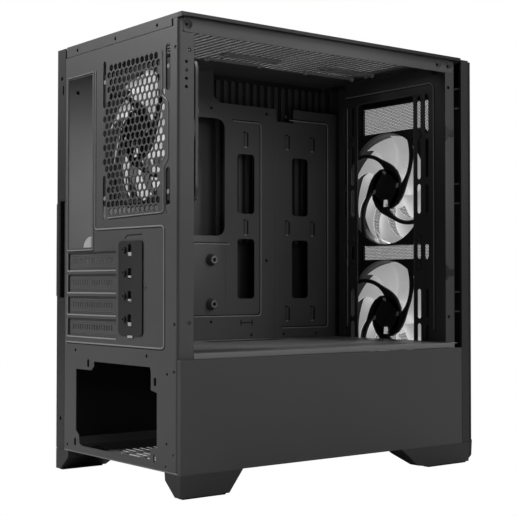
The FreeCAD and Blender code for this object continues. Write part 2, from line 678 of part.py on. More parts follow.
def side_panel():
    parts = [
        block("side_skin", ("panel_out - steel", "panel_out"), ("-bezel_start + 0.6", "0"),
              ("0.4", "rim_top - 0.4")),
        block("side_rear", ("side_flange", "panel_out"), ("-steel", "0"), ("0.4", "rim_top - 0.4")),
    ]
    flare = doc.addObject("Part::Wedge", "side_flare")
    bind(flare, X="panel_out", Y="-18", Z="141", Xmin=0, X2min=0, Ymin=0, Ymax=18, Zmin=4, Z2min=4,
         Xmax=0.02, X2max="flare", Zmax=96, Z2max=92)
    parts.append(flare)
    tools = [
        block("grip_notch", ("side_flange - 1", "205"), ("-2", "1"), ("142", "237")),
        rod("side_hole_high", "Y", 1.9, -2, 1, (201, 352.6)),
        rod("side_hole_low", "Y", 1.9, -2, 1, (201, 29)),
        extrude("side_slot", "rear", "1", "3", [slot(198.4, 341, 2.4, 9)]),
    ]
    piece(carve("side_cut", join("side_solid", parts), tools), "closed_side_panel")
    shell = block("grip_shell", ("side_flange + 0.1", "204.9"), ("-11", "-0.2"), ("142.1", "236.9"))
    hollow = block("grip_hollow", ("side_flange + 1.4", "203.6"), ("-9.6", "1"), ("143.6", "235.4"))
    piece(carve("grip", shell, [hollow]), "side_panel_finger_pull")


# ---------------------------------------------------------------- feet

FOOT_OUTLINES = {
    "rear": ((0, 0), (-63.4, 0), (-49, -18.8), (0, -18.8)),
    "front": ((-249.5, 0), (-271, -17), (-283, -18.8), (-341, -18.8), (-342, 0)),
}


def feet():
    """Four moulded feet with a slanted inner side; the far pair mirrors the window pair."""
    middle = (D["panel_out"] - D["cover_out"]) / 2
    near = -D["cover_out"]
    across = ((near, 0), (19, 0), (18.3, -6.5), (3.5, -18.8), (near, -18.8))
    pads = []
    for end, outline in FOOT_OUTLINES.items():
        side = extrude(f"{end}_foot_side", "side", near - 1, 30, [polygon(*outline)])
        face = extrude(f"{end}_foot_face", "rear", 1, 345, [polygon(*across)])
        foot = overlap(f"{end}_foot", side, face)
        mirror = doc.addObject("Part::Mirroring", f"{end}_foot_mirror")
        mirror.Source = foot
        mirror.Normal = Vector(1, 0, 0)
        mirror.Base = Vector(middle + D["origin_across"], 0, 0)
        piece(foot, f"foot_{end}_window_side")
        PIECES.append(mirror)
        mirror.Label = f"foot_{end}_closed_side"
        back, front = (-3, -46) if end == "rear" else (-286, -338)
        for left in (near + 1.2, 2 * middle - 2.5):
            pads.append(block(f"pad_{end}_{int(left)}", (left, left + 6.5), (front, back),
                              ("-foot_drop", "-18.8")))
    piece(together("pad_group", pads), "foot_pads")


# ---------------------------------------------------------------- fans

BLADES = 9


def strut_loops():
    """Four curved arms from the hub plate out to the duct."""
    loops = []
    for arm in range(4):
        turn = math.radians(90 * arm)

        def at(radius, degrees):
            angle = turn + math.radians(degrees)
            return Vector(radius * math.cos(angle), radius * math.sin(angle), 0)

        leading = Part.Arc(at(18, -20), at(40, 22), at(59.2, 43))
        trailing = Part.Arc(at(59.2, 51), at(40, 31), at(18, 5))
        loops.append([leading, Part.LineSegment(at(59.2, 43), at(59.2, 51)), trailing,
                      Part.LineSegment(at(18, 5), at(18, -20))])
    return loops


def fan(name, across, along, up):
    """One fan blowing towards +Y; its own axis is drawn upright and then turned."""
    half = D["fan_size"] / 2
    reach = D["fan_holes"] / 2
    outline = [rounded(-half, -half, half, half, 6)]

    def place(obj, node):
        obj = whole(obj)
        obj.Placement = Placement(Vector(), AXIS_TURN["Y"])
        piece(obj, f"{name}_{node}", (across, along, up))

    shell = join(f"{name}_shell", [
        extrude(f"{name}_inlet_flange", "floor", 0, 4, outline),
        extrude(f"{name}_outlet_flange", "floor", "fan_deep - 4", 4, outline),
        rod(f"{name}_duct", "Z", "fan_size / 2 - 0.1", 0, "fan_deep", (0, 0)),
    ])
    corner_holes = [circle(x * reach, y * reach, 2.2) for x in (-1, 1) for y in (-1, 1)]
    open_shell = carve(f"{name}_open_shell", shell, [
        rod(f"{name}_bore", "Z", "fan_bore", -1, "fan_deep + 1", (0, 0)),
        extrude(f"{name}_corner_holes", "floor", -1, "fan_deep + 2", corner_holes),
    ])
    frame = join(f"{name}_frame_solid", [
        open_shell,
        extrude(f"{name}_struts", "floor", "fan_deep - 3", 3, strut_loops()),
        rod(f"{name}_hub_plate", "Z", "fan_hub + 1", "fan_deep - 3", "fan_deep", (0, 0)),
        rod(f"{name}_tower", "Z", 5.95, 8, "fan_deep - 2", (0, 0)),
    ])
    tower_bore = rod(f"{name}_tower_bore", "Z", 4, 7, "fan_deep - 3", (0, 0))
    place(carve(f"{name}_frame_cut", frame, [tower_bore]), "frame")

    sleeve = rod(f"{name}_sleeve", "Z", 3.98, 9, 21, (0, 0))
    bore = rod(f"{name}_sleeve_bore", "Z", "shaft_radius + shaft_gap", 8, 22, (0, 0))
    place(carve(f"{name}_sleeve_cut", sleeve, [bore]), "bearing")

    core = rod(f"{name}_core", "Z", 15.5, 9, 17, (0, 0))
    gaps = [rod(f"{name}_core_bore", "Z", 6, 8, 18, (0, 0))]
    for index, span in enumerate(((-17, -9), (9, 17))):
        gaps.append(block(f"{name}_gap_x_{index}", span, (-2.5, 2.5), (8, 18)))
        gaps.append(block(f"{name}_gap_y_{index}", (-2.5, 2.5), span, (8, 18)))
    place(carve(f"{name}_stator_cut", core, gaps), "stator")

    cup = carve(f"{name}_cup", rod(f"{name}_hub", "Z", "fan_hub", 3, 20.5, (0, 0)),
                [rod(f"{name}_hub_room", "Z", "fan_hub - 1.5", 4.5, 22, (0, 0))])
    blades = []
    for index in range(BLADES):
        blade = doc.addObject("Part::Box", f"{name}_blade_{index}")
        spin = Rotation(Vector(0, 0, 1), 360 * index / BLADES)
        pitch = Rotation(Vector(1, 0, 0), 38)
        turn = spin.multiply(pitch)
        start = spin.multVec(Vector(19, 0, 12)) + turn.multVec(Vector(0, -15, -0.8))
        blade.Placement = Placement(start, turn)
        bind(blade, Length="fan_bore - 20", Width=30, Height=1.6)
        blades.append(blade)
    trim = carve(f"{name}_trim", rod(f"{name}_trim_outer", "Z", "fan_bore - 1.3", 4, 20, (0, 0)),
                 [rod(f"{name}_trim_inner", "Z", "fan_hub - 0.7", 3, 22, (0, 0))])
    swept = overlap(f"{name}_swept", join(f"{name}_blades", blades), trim)
    place(join(f"{name}_impeller_solid", [cup, swept]), "impeller")
    place(rod(f"{name}_axle", "Z", "shaft_radius", 4.5, 20, (0, 0)), "shaft")


def fans():
    fan("rear_fan", "rear_fan_across", "-steel - fan_deep", "rear_fan_up")
    fan("front_fan_upper", "front_fan_across", "-wall_back - steel - fan_deep", "upper_fan_up")
    fan("front_fan_lower", "front_fan_across", "-wall_back - steel - fan_deep", "lower_fan_up")
    studs = []
    for side in (-1, 1):
        for end in (-1, 1):
            centre = (f"rear_fan_across + {side} * fan_holes / 2", f"rear_fan_up + {end} * fan_holes / 2")
            studs.append(rod(f"rear_stud_{side}_{end}", "Y", 2.0, -22, -0.3, centre))
    piece(together("rear_stud_group", studs), "rear_fan_pins")
    screws = []
    for level in ("upper_fan_up", "lower_fan_up"):
        for side in (-1, 1):
            for end in (-1, 1):
                centre = (f"front_fan_across + {side} * fan_holes / 2", f"{level} + {end} * fan_holes / 2")
                tag = f"{level}_{side}_{end}"
                head = rod(f"head_{tag}", "Y", 3.4, "-wall_back", "-wall_back + 1.5", centre)
                shank = rod(f"shank_{tag}", "Y", 2.05, "-wall_back - 12", "-wall_back", centre)
                screws.append(join(f"fan_screw_{tag}", [head, shank]))
    piece(together("fan_screw_group", screws), "front_fan_screws")


# ---------------------------------------------------------------- build and write

def check_and_write():
    doc.recompute()
    for obj in doc.Objects:
        if "Invalid" in obj.State or "Error" in obj.State:
            raise RuntimeError(f"{obj.Name} ({obj.Label}) did not recompute: {obj.State}")
    for obj in PIECES:
        if obj.Shape.isNull() or not obj.Shape.isValid() or obj.Shape.Volume <= 0:
            raise RuntimeError(f"{obj.Label} has no valid shape")
    os.makedirs("parts", exist_ok=True)
    for obj in PIECES:
        obj.Shape.exportStep(os.path.join("parts", obj.Label + ".step"))
    print(len(PIECES), "sub-parts written")


rear_panel()
slot_covers()
motherboard_tray()
bottom_panel()
psu_shroud()
top_panel()
top_filter()
front_frame()
front_bezel()
front_mesh()
controls()
side_panel()
feet()
fans()
check_and_write()
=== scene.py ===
"""Looks for the desktop computer tower: finishes, pressed details, meshes, fans and studio."""
import bmesh
import bpy
import json
import math
from mathutils import Matrix, Vector


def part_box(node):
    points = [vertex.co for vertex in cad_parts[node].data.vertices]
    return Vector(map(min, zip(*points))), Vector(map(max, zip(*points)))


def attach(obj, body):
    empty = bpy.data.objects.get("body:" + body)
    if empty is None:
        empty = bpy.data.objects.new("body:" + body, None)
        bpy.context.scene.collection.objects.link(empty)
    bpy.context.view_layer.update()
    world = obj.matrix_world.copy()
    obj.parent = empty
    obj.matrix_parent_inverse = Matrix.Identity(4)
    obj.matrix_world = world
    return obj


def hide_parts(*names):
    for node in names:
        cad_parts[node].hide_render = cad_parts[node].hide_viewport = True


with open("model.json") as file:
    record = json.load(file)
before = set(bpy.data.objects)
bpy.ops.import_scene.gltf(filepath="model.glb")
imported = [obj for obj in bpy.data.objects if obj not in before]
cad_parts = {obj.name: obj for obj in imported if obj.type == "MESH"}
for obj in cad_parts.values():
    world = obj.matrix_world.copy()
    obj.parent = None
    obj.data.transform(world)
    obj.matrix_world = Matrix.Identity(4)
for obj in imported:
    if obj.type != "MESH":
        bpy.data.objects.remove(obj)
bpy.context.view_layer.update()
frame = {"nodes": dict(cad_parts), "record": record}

MM = 0.001

# Chassis coordinates: X from the window-side wall, Y from the rear face, Z from the panels' lower edge.
ORIGIN = Vector((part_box("rear_panel")[0].x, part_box("rear_panel")[1].y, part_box("bottom_panel")[0].z))


def at(x, y, z):
    """A point given in chassis coordinates, in millimetres."""
    return ORIGIN + Vector((x, y, z)) * MM


# ---------------------------------------------------------------- camera and studio

CAMERA_PLACE = (-822.1, 540.4, 155.8)
CAMERA_YAW = 51.594             # degrees from square on to the rear face, turning to the front
CAMERA_PITCH = 1.4515           # degrees above level
CAMERA_LENS = 83.26             # millimetres, on a 36 mm sensor
CAMERA_SHIFT = (-0.0500, -0.0070)
WORLD_LIGHT = 0.03


def add_camera():
    """The photograph's view: from behind, on the window side, almost level."""
    data = bpy.data.cameras.new("camera")
    camera = bpy.data.objects.new("camera", data)
    bpy.context.collection.objects.link(camera)
    yaw, pitch = math.radians(CAMERA_YAW), math.radians(CAMERA_PITCH)
    ahead = Vector((math.sin(yaw) * math.cos(pitch), -math.cos(yaw) * math.cos(pitch), math.sin(pitch)))
    camera.location = at(*CAMERA_PLACE)
    camera.rotation_mode = "QUATERNION"
    camera.rotation_quaternion = ahead.to_track_quat("-Z", "Y")
    data.sensor_width = 36
    data.lens = CAMERA_LENS
    data.shift_x, data.shift_y = CAMERA_SHIFT
    data.clip_start = 0.01
    data.clip_end = 50
    bpy.context.scene.camera = camera


def add_light(name, kind, place, target, power):
    """A light at a place in the frame's metres, turned to its target."""
    data = bpy.data.lights.new(name, kind)
    data.energy = power
    light = bpy.data.objects.new(name, data)
    bpy.context.collection.objects.link(light)
    light.location = place
    light.rotation_mode = "QUATERNION"
    light.rotation_quaternion = (Vector(target) - Vector(place)).to_track_quat("-Z", "Y")
    return light


def add_area(name, place, target, size, power):
    """A soft rectangular light that the camera doesn't see."""
    light = add_light(name, "AREA", place, target, power)
    light.data.shape = "RECTANGLE"
    light.data.size, light.data.size_y = size
    light.visible_camera = False


def add_beam(name, place, target, angle, power):
    """A narrow soft-edged beam through the window onto the rear end of the tray."""
    light = add_light(name, "SPOT", place, target, power)
    light.data.spot_size = math.radians(angle)
    light.data.spot_blend = 1.0
    light.data.shadow_soft_size = 0.05


def white_to_camera(tree, shader, output, strength):
    """Pure white where the camera looks at it, while the scene is lit by the other shader."""
    white, ray, mix = (tree.nodes.new(kind) for kind in
                       ("ShaderNodeEmission", "ShaderNodeLightPath", "ShaderNodeMixShader"))
    white.inputs["Strength"].default_value = strength
    tree.links.new(ray.outputs["Is Camera Ray"], mix.inputs["Fac"])
    tree.links.new(shader.outputs[0], mix.inputs[1])
    tree.links.new(white.outputs[0], mix.inputs[2])
    tree.links.new(mix.outputs[0], output.inputs["Surface"])


def add_studio():
    """Soft studio lights round the tower, with white behind it."""
    scene = bpy.context.scene
    scene.view_settings.view_transform = "Standard"
    world = bpy.data.worlds.new("studio")
    scene.world = world
    world.use_nodes = True
    nodes = world.node_tree.nodes
    nodes["Background"].inputs["Color"].default_value = (1, 1, 1, 1)
    nodes["Background"].inputs["Strength"].default_value = WORLD_LIGHT
    white_to_camera(world.node_tree, nodes["Background"], nodes["World Output"], 1.0)
    add_area("rear_key", (0.9, 1.3, 1.2), (0, 0.15, 0.3), (0.7, 0.7), 28)
    add_area("window_key", (-1.0, -0.6, 1.3), (0, -0.05, 0.2), (0.5, 0.5), 9)
    add_area("window_fill", (-1.9, 0.35, 0.9), (0, 0, 0.15), (1.0, 0.8), 4.8)
    add_area("low_fill", (-1.3, -0.5, 0.7), (0, 0, 0.2), (0.5, 0.5), 2.4)
    add_area("front_light", (1.1, -1.5, 0.9), (0, -0.1, 0.2), (1.0, 1.0), 55)
    add_beam("tray_beam", (-1.4, -1.02, 0.42), (0.088, 0.154, 0.26), 7.5, 62)


def add_floor():
    """A plain pale floor just under the feet."""
    bpy.ops.mesh.primitive_plane_add(size=30, location=(0, 0, -0.0002))
    floor = bpy.context.object
    floor.name = "studio_floor"
    material = bpy.data.materials.new("studio_floor")
    material.use_nodes = True
    nodes = material.node_tree.nodes
    shader = nodes["Principled BSDF"]
    shader.inputs["Base Color"].default_value = (0.5, 0.5, 0.5, 1)
    shader.inputs["Roughness"].default_value = 0.9
    shader.inputs["Specular IOR Level"].default_value = 0.1
    white_to_camera(material.node_tree, shader, nodes["Material Output"], 1.0)
    floor.data.materials.append(material)


# ---------------------------------------------------------------- finishes

def finish(name, color, rough=0.5, metal=0.0, grain=1400, bump=0.12, mottle=0.10, edge=0.0, **sockets):
    """A procedural finish: fine moulded or sprayed grain, slow mottling and softened edges."""
    material = bpy.data.materials.new(name)
    material.use_nodes = True
    nodes, links = material.node_tree.nodes, material.node_tree.links
    shader = nodes["Principled BSDF"]
    place = nodes.new("ShaderNodeTexCoord")
    slow, fine = nodes.new("ShaderNodeTexNoise"), nodes.new("ShaderNodeTexNoise")
    slow.inputs["Scale"].default_value = 14
    slow.inputs["Detail"].default_value = 4
    fine.inputs["Scale"].default_value = grain
    fine.inputs["Detail"].default_value = 3
    for texture in (slow, fine):
        links.new(place.outputs["Object"], texture.inputs["Vector"])
    tint = nodes.new("ShaderNodeValToRGB")
    tint.name = "tint"
    tint.color_ramp.elements[0].position = 0.3
    tint.color_ramp.elements[1].position = 0.7
    tint.color_ramp.elements[0].color = (*[c * (1 - mottle) for c in color], 1)
    tint.color_ramp.elements[1].color = (*[min(1, c * (1 + mottle)) for c in color], 1)
    blend = nodes.new("ShaderNodeMix")
    blend.data_type = "FLOAT"
    blend.inputs["Factor"].default_value = 0.45
    links.new(slow.outputs["Fac"], blend.inputs["A"])
    links.new(fine.outputs["Fac"], blend.inputs["B"])
    links.new(blend.outputs["Result"], tint.inputs["Fac"])
    links.new(tint.outputs["Color"], shader.inputs["Base Color"])
    spread = nodes.new("ShaderNodeMapRange")
    spread.inputs["To Min"].default_value = max(0.05, rough - 0.08)
    spread.inputs["To Max"].default_value = min(1.0, rough + 0.08)
    links.new(slow.outputs["Fac"], spread.inputs["Value"])
    links.new(spread.outputs["Result"], shader.inputs["Roughness"])
    relief = nodes.new("ShaderNodeBump")
    relief.inputs["Strength"].default_value = bump
    relief.inputs["Distance"].default_value = 0.0002
    links.new(fine.outputs["Fac"], relief.inputs["Height"])
    if edge:
        rounding = nodes.new("ShaderNodeBevel")
        rounding.samples = 4
        rounding.inputs["Radius"].default_value = edge * MM
        links.new(rounding.outputs["Normal"], relief.inputs["Normal"])
    links.new(relief.outputs["Normal"], shader.inputs["Normal"])
    shader.inputs["Metallic"].default_value = metal
    for socket, value in sockets.items():
        shader.inputs[socket.replace("_", " ")].default_value = value
    return material


def coat_with_painted_shade(name, color, shade_color, limit):
    """The powder coat with painted shade, turning black on the window side of a limit across the tower."""
    material = finish(name, color, rough=0.46, edge=0.5)
    nodes, links = material.node_tree.nodes, material.node_tree.links
    place, split = nodes.new("ShaderNodeTexCoord"), nodes.new("ShaderNodeSeparateXYZ")
    within, blend = nodes.new("ShaderNodeMath"), nodes.new("ShaderNodeMix")
    within.operation = "LESS_THAN"
    within.inputs[1].default_value = limit
    blend.data_type = "RGBA"
    blend.inputs["B"].default_value = (*shade_color, 1)
    links.new(place.outputs["Object"], split.inputs[0])
    links.new(split.outputs["X"], within.inputs[0])
    links.new(within.outputs[0], blend.inputs["Factor"])
    links.new(nodes["tint"].outputs["Color"], blend.inputs["A"])
    links.new(blend.outputs["Result"], nodes["Principled BSDF"].inputs["Base Color"])
    return material


COAT = (0.060, 0.060, 0.061)
STEEL = finish("charcoal_powder_coat", COAT, rough=0.48, edge=0.5)
# Painted shade: the top panel's hem on the window side, under the overhanging lip, is coloured near black.
TOP_STEEL = coat_with_painted_shade("top_coat_painted_hem_shade", COAT, (0.006, 0.006, 0.006), at(-0.1, 0, 0).x)
# Painted shade: the closed side panel's inner face is coloured darker than its outer face.
SIDE_STEEL = coat_with_painted_shade("side_coat_painted_inner_shade", COAT, (0.012, 0.012, 0.012), at(209.4, 0, 0).x)
BLACK_STEEL = finish("black_powder_coat", (0.010, 0.010, 0.0105), rough=0.45, edge=0.4)
PLATE_STEEL = finish("plate_powder_coat", (0.011, 0.011, 0.0115), rough=0.45, edge=0.8)
MESH_STEEL = finish("mesh_powder_coat", (0.05, 0.05, 0.05), rough=0.5, grain=2600)
BEZEL = finish("bezel_plastic", (0.015, 0.015, 0.0155), rough=0.5, grain=2200, bump=0.1, edge=0.8)
FOOT = finish("foot_plastic", (0.022, 0.022, 0.023), rough=0.52, grain=1800, bump=0.15, edge=0.9)
PLASTIC = finish("black_plastic", (0.014, 0.014, 0.0145), rough=0.36, grain=1800, bump=0.08, edge=0.4)
RUBBER = finish("rubber", (0.018, 0.018, 0.018), rough=0.8, grain=900, bump=0.3)
WEAVE = finish("filter_weave", (0.03, 0.03, 0.03), rough=0.6, grain=4000, bump=0.2)
SCREW = finish("dark_zinc", (0.20, 0.20, 0.21), rough=0.32, metal=1.0, grain=3000, bump=0.05, edge=0.2)
BRIGHT = finish("bright_steel", (0.55, 0.55, 0.57), rough=0.28, metal=1.0, grain=3000, bump=0.05, edge=0.2)
# Painted shade: the shroud's side cover is the same powder coat, darkened for the weaker light on it.
COVER_PAINTED_SHADE = finish("cover_coat_painted_shade", tuple(c * 0.78 for c in COAT), rough=0.5, edge=0.5)
# Painted light: the same powder coat made three times as light, for the shroud's top, the bottom panel and
# the fan rails where light falls on them.
COAT_PAINTED_LIGHT = finish("deck_coat_painted_light", tuple(c * 3.0 for c in COAT), rough=0.42, edge=0.5)
# Painted shade: the front frame is the same powder coat, darkened for the shade inside the front of the
# tower.
FRAME_PAINTED_SHADE = finish("frame_coat_painted_shade", tuple(c * 0.66 for c in COAT), rough=0.5, edge=0.5)
# Frosted white plastic with a painted glow: its emission stands in for light shining through the blades from
# the front, and the clear plastic parts share it.
BLADE_PLASTIC_PAINTED_GLOW = finish("frosted_blade_painted_glow", (0.72, 0.72, 0.72), rough=0.42, grain=700, bump=0.05, mottle=0.05,
               Emission_Color=(1, 1, 1, 1), Emission_Strength=0.28)
STUD = finish("clear_rubber", (0.25, 0.25, 0.25), rough=0.35, grain=1500, bump=0.05)
BRONZE = finish("sintered_bronze", (0.42, 0.27, 0.13), rough=0.5, metal=1.0, grain=4000, bump=0.3)
COPPER = finish("enamelled_copper", (0.45, 0.16, 0.07), rough=0.3, metal=0.9, grain=600, bump=0.4)
# Painted highlight: light grey for the bright line that pressed beads and edges catch.
PAINTED_HIGHLIGHT = finish("fold_painted_highlight", (0.26, 0.26, 0.26), rough=0.40)
TAB = finish("bare_tab", (0.40, 0.40, 0.40), rough=0.45, edge=0.2)
# Painted shade: near black, for thin strips and slabs laid where creases, gaps and slots lie in shade.
PAINTED_SHADE = finish("shadowed_slot", (0.002, 0.002, 0.002), rough=0.9)
BOARD = finish("solder_mask", (0.008, 0.035, 0.016), rough=0.35, grain=500, bump=0.1)
LENS = finish("light_pipe", (0.75, 0.80, 0.85), rough=0.2, grain=500, bump=0.02, Transmission_Weight=0.6)
SLOT_FINISH = {
    "chassis_steel": STEEL, "black_steel": BLACK_STEEL, "foot_plastic": FOOT, "bezel_plastic": BEZEL,
    "mesh_steel": MESH_STEEL, "filter_frame": RUBBER, "filter_mesh": WEAVE, "rubber": RUBBER,
    "screw_steel": SCREW, "black_plastic": PLASTIC, "clear_plastic": BLADE_PLASTIC_PAINTED_GLOW, "fan_frame_plastic": PLASTIC,
    "fan_blade_plastic": BLADE_PLASTIC_PAINTED_GLOW, "bronze": BRONZE, "stator_copper": COPPER, "shaft_steel": BRIGHT,
    "button_plastic": PLASTIC, "circuit_board": BOARD, "switch_metal": BRIGHT, "socket_metal": BRIGHT,
    "socket_plastic": PLASTIC, "light_plastic": LENS,
}
# Pieces that look lighter or darker in the photograph than the rest of their material.
# Painted light makes the shroud's top and the bottom panel lighter; painted shade darkens the top's hem, the
# closed panel's inside, the shroud's cover and the front frame. The slot screws and their plate are black,
# and the fan's pins clear rubber.
NODE_FINISH = {
    "top_panel": TOP_STEEL, "closed_side_panel": SIDE_STEEL, "shroud_side_cover": COVER_PAINTED_SHADE,
    "psu_shroud_top": COAT_PAINTED_LIGHT, "bottom_panel": COAT_PAINTED_LIGHT, "front_frame": FRAME_PAINTED_SHADE,
    "rear_fan_pins": STUD, "slot_screws": BLACK_STEEL, "slot_screw_plate": PLATE_STEEL,
}


def finish_cad_nodes():
    """Each CAD piece gets the finish of its material slot, or its own where it has one."""
    for entry in frame["record"]["subparts"]:
        for slot in frame["nodes"][entry["node"]].material_slots:
            slot.material = SLOT_FINISH[entry["material_slot"]]
    for node, material in NODE_FINISH.items():
        for slot in frame["nodes"][node].material_slots:
            slot.material = material


# ---------------------------------------------------------------- mesh building blocks

# Each plane: its fixed axis, its two drawing axes, and which way is out of the sheet. "rear" faces back
# from the rear panel, and "inward" faces back into the chamber from the front wall.
PLANES = {"rear": (1, 0, 2, 1), "inward": (1, 0, 2, 1), "window": (0, 1, 2, -1), "under": (2, 0, 1, -1)}


# Width and height of the painted shade lines laid beside the beads.
SHADE_LINE_WIDTH, SHADE_LINE_HEIGHT = 1.5, 0.12


def on(plane, level, u, v, out=0.0):
    """A point drawn on a plane at a level, raised out of it, in chassis millimetres."""
    fixed, first, second, sign = PLANES[plane]
    point = [0.0, 0.0, 0.0]
    point[fixed], point[first], point[second] = level + sign * out, u, v
    return at(*point)


def rounded_path(points, radius, closed=False):
    """The corners of a path rounded with short arcs."""
    corners = [Vector(p) for p in points]
    path = []
    for index, corner in enumerate(corners):
        if not closed and index in (0, len(corners) - 1):
            path.append(corner)
            continue
        before, after = corners[index - 1] - corner, corners[(index + 1) % len(corners)] - corner
        reach = min(radius, before.length * 0.45, after.length * 0.45)
        start, end = corner + before.normalized() * reach, corner + after.normalized() * reach
        path += [start.lerp(corner, s / 4).lerp(corner.lerp(end, s / 4), s / 4) for s in range(5)]
    return path


def make_piece(name, mesh, material, body, smooth=True):
    """A visible piece that rides on a body, with one material."""
    piece = bpy.data.objects.new(name, mesh)
    bpy.context.collection.objects.link(piece)
    mesh.materials.append(material)
    if smooth:
        mesh.shade_smooth()
        mesh.set_sharp_from_angle(angle=math.radians(35))
    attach(piece, body)
    return piece


def mesh_from(build, name):
    """A mesh from a function that draws into an empty one."""
    data, shape = bpy.data.meshes.new(name), bmesh.new()
    build(shape)
    bmesh.ops.remove_doubles(shape, verts=shape.verts, dist=1e-7)
    bmesh.ops.recalc_face_normals(shape, faces=shape.faces)
    shape.to_mesh(data)
    shape.free()
    return data


def add_ridge(shape, plane, level, path, width, height, closed=False):
    """A pressed bead: a low rounded ridge swept along a path on a sheet."""
    profile = ((-0.5, -0.15), (-0.28, 0.75 * height), (0, height), (0.28, 0.75 * height), (0.5, -0.15))
    rings = []
    for index, here in enumerate(path):
        before = path[index - 1] if closed or index else here
        after = path[(index + 1) % len(path)] if closed or index < len(path) - 1 else here
        first, second = (here - before).normalized(), (after - here).normalized()
        along = (first + second).normalized()
        across = Vector((-along.y, along.x))
        stretch = 1 / max(0.5, across.dot(Vector((-second.y, second.x))) if second.length else 1)
        rings.append([shape.verts.new(on(plane, level, *(here + across * (s * width * stretch)), out))
                      for s, out in profile])
    count = len(rings) if closed else len(rings) - 1
    for index in range(count):
        ring, following = rings[index], rings[(index + 1) % len(rings)]
        for i in range(len(profile)):
            j = (i + 1) % len(profile)
            shape.faces.new((ring[i], ring[j], following[j], following[i]))
    if not closed:
        shape.faces.new(rings[0])
        shape.faces.new(rings[-1])


def beads(name, plane, level, paths, body, width=1.5, height=0.5, corner=4, closed=False, material=PAINTED_HIGHLIGHT,
          shade=(-1.5, -1.1)):
    """Pressed folds: a ridge with a painted highlight in place of the light it catches, and a dark strip of
    painted shade beside it.
    """
    def ridges(shape):
        for path in paths:
            add_ridge(shape, plane, level, rounded_path(path, corner, closed), width, height, closed)
    make_piece(name, mesh_from(ridges, name), material, body)
    if not shade:
        return
    offset = Vector(shade)

    def shade_lines(shape):
        for path in paths:
            beside = [point + offset for point in rounded_path(path, corner, closed)]
            add_ridge(shape, plane, level, beside, SHADE_LINE_WIDTH, SHADE_LINE_HEIGHT, closed)
    painted_shade_line = f"{name}_crease"
    make_piece(painted_shade_line, mesh_from(shade_lines, painted_shade_line), PAINTED_SHADE, body)


def add_prism(shape, outline, depth, bevel=0.0):
    """A closed outline of points drawn out along a vector, with softened edges."""
    low = [shape.verts.new(p) for p in outline]
    high = [shape.verts.new(p + depth) for p in outline]
    faces = [shape.faces.new(low), shape.faces.new(high)]
    for i, vert in enumerate(low):
        j = (i + 1) % len(low)
        faces.append(shape.faces.new((vert, low[j], high[j], high[i])))
    if bevel:
        edges = {edge for face in faces for edge in face.edges}
        bmesh.ops.bevel(shape, geom=list(edges), offset=bevel * MM, segments=2, affect="EDGES")


def slabs(name, plane, level, outlines, thickness, body, material, bevel=0.25):
    """Flat plates standing out of a plane."""
    def build(shape):
        for outline in outlines:
            points = [on(plane, level, u, v) for u, v in outline]
            add_prism(shape, points, on(plane, level, 0, 0, thickness) - on(plane, level, 0, 0), bevel)
    make_piece(name, mesh_from(build, name), material, body)


def box_outline(u0, v0, u1, v1):
    return [(u0, v0), (u1, v0), (u1, v1), (u0, v1)]


def ring_points(u, v, radius, count=24):
    return [(u + radius * math.cos(math.tau * i / count), v + radius * math.sin(math.tau * i / count))
            for i in range(count)]


# ---------------------------------------------------------------- rear face details

PORT = (142.4, 189.9, 186.85, 348.65)        # port aperture: left, low, right, high
SLOT_MIDDLES = [177.2 - 20.32 * i for i in range(4)]
SLOT_LEFT, SLOT_RIGHT = 98.2, 188.2


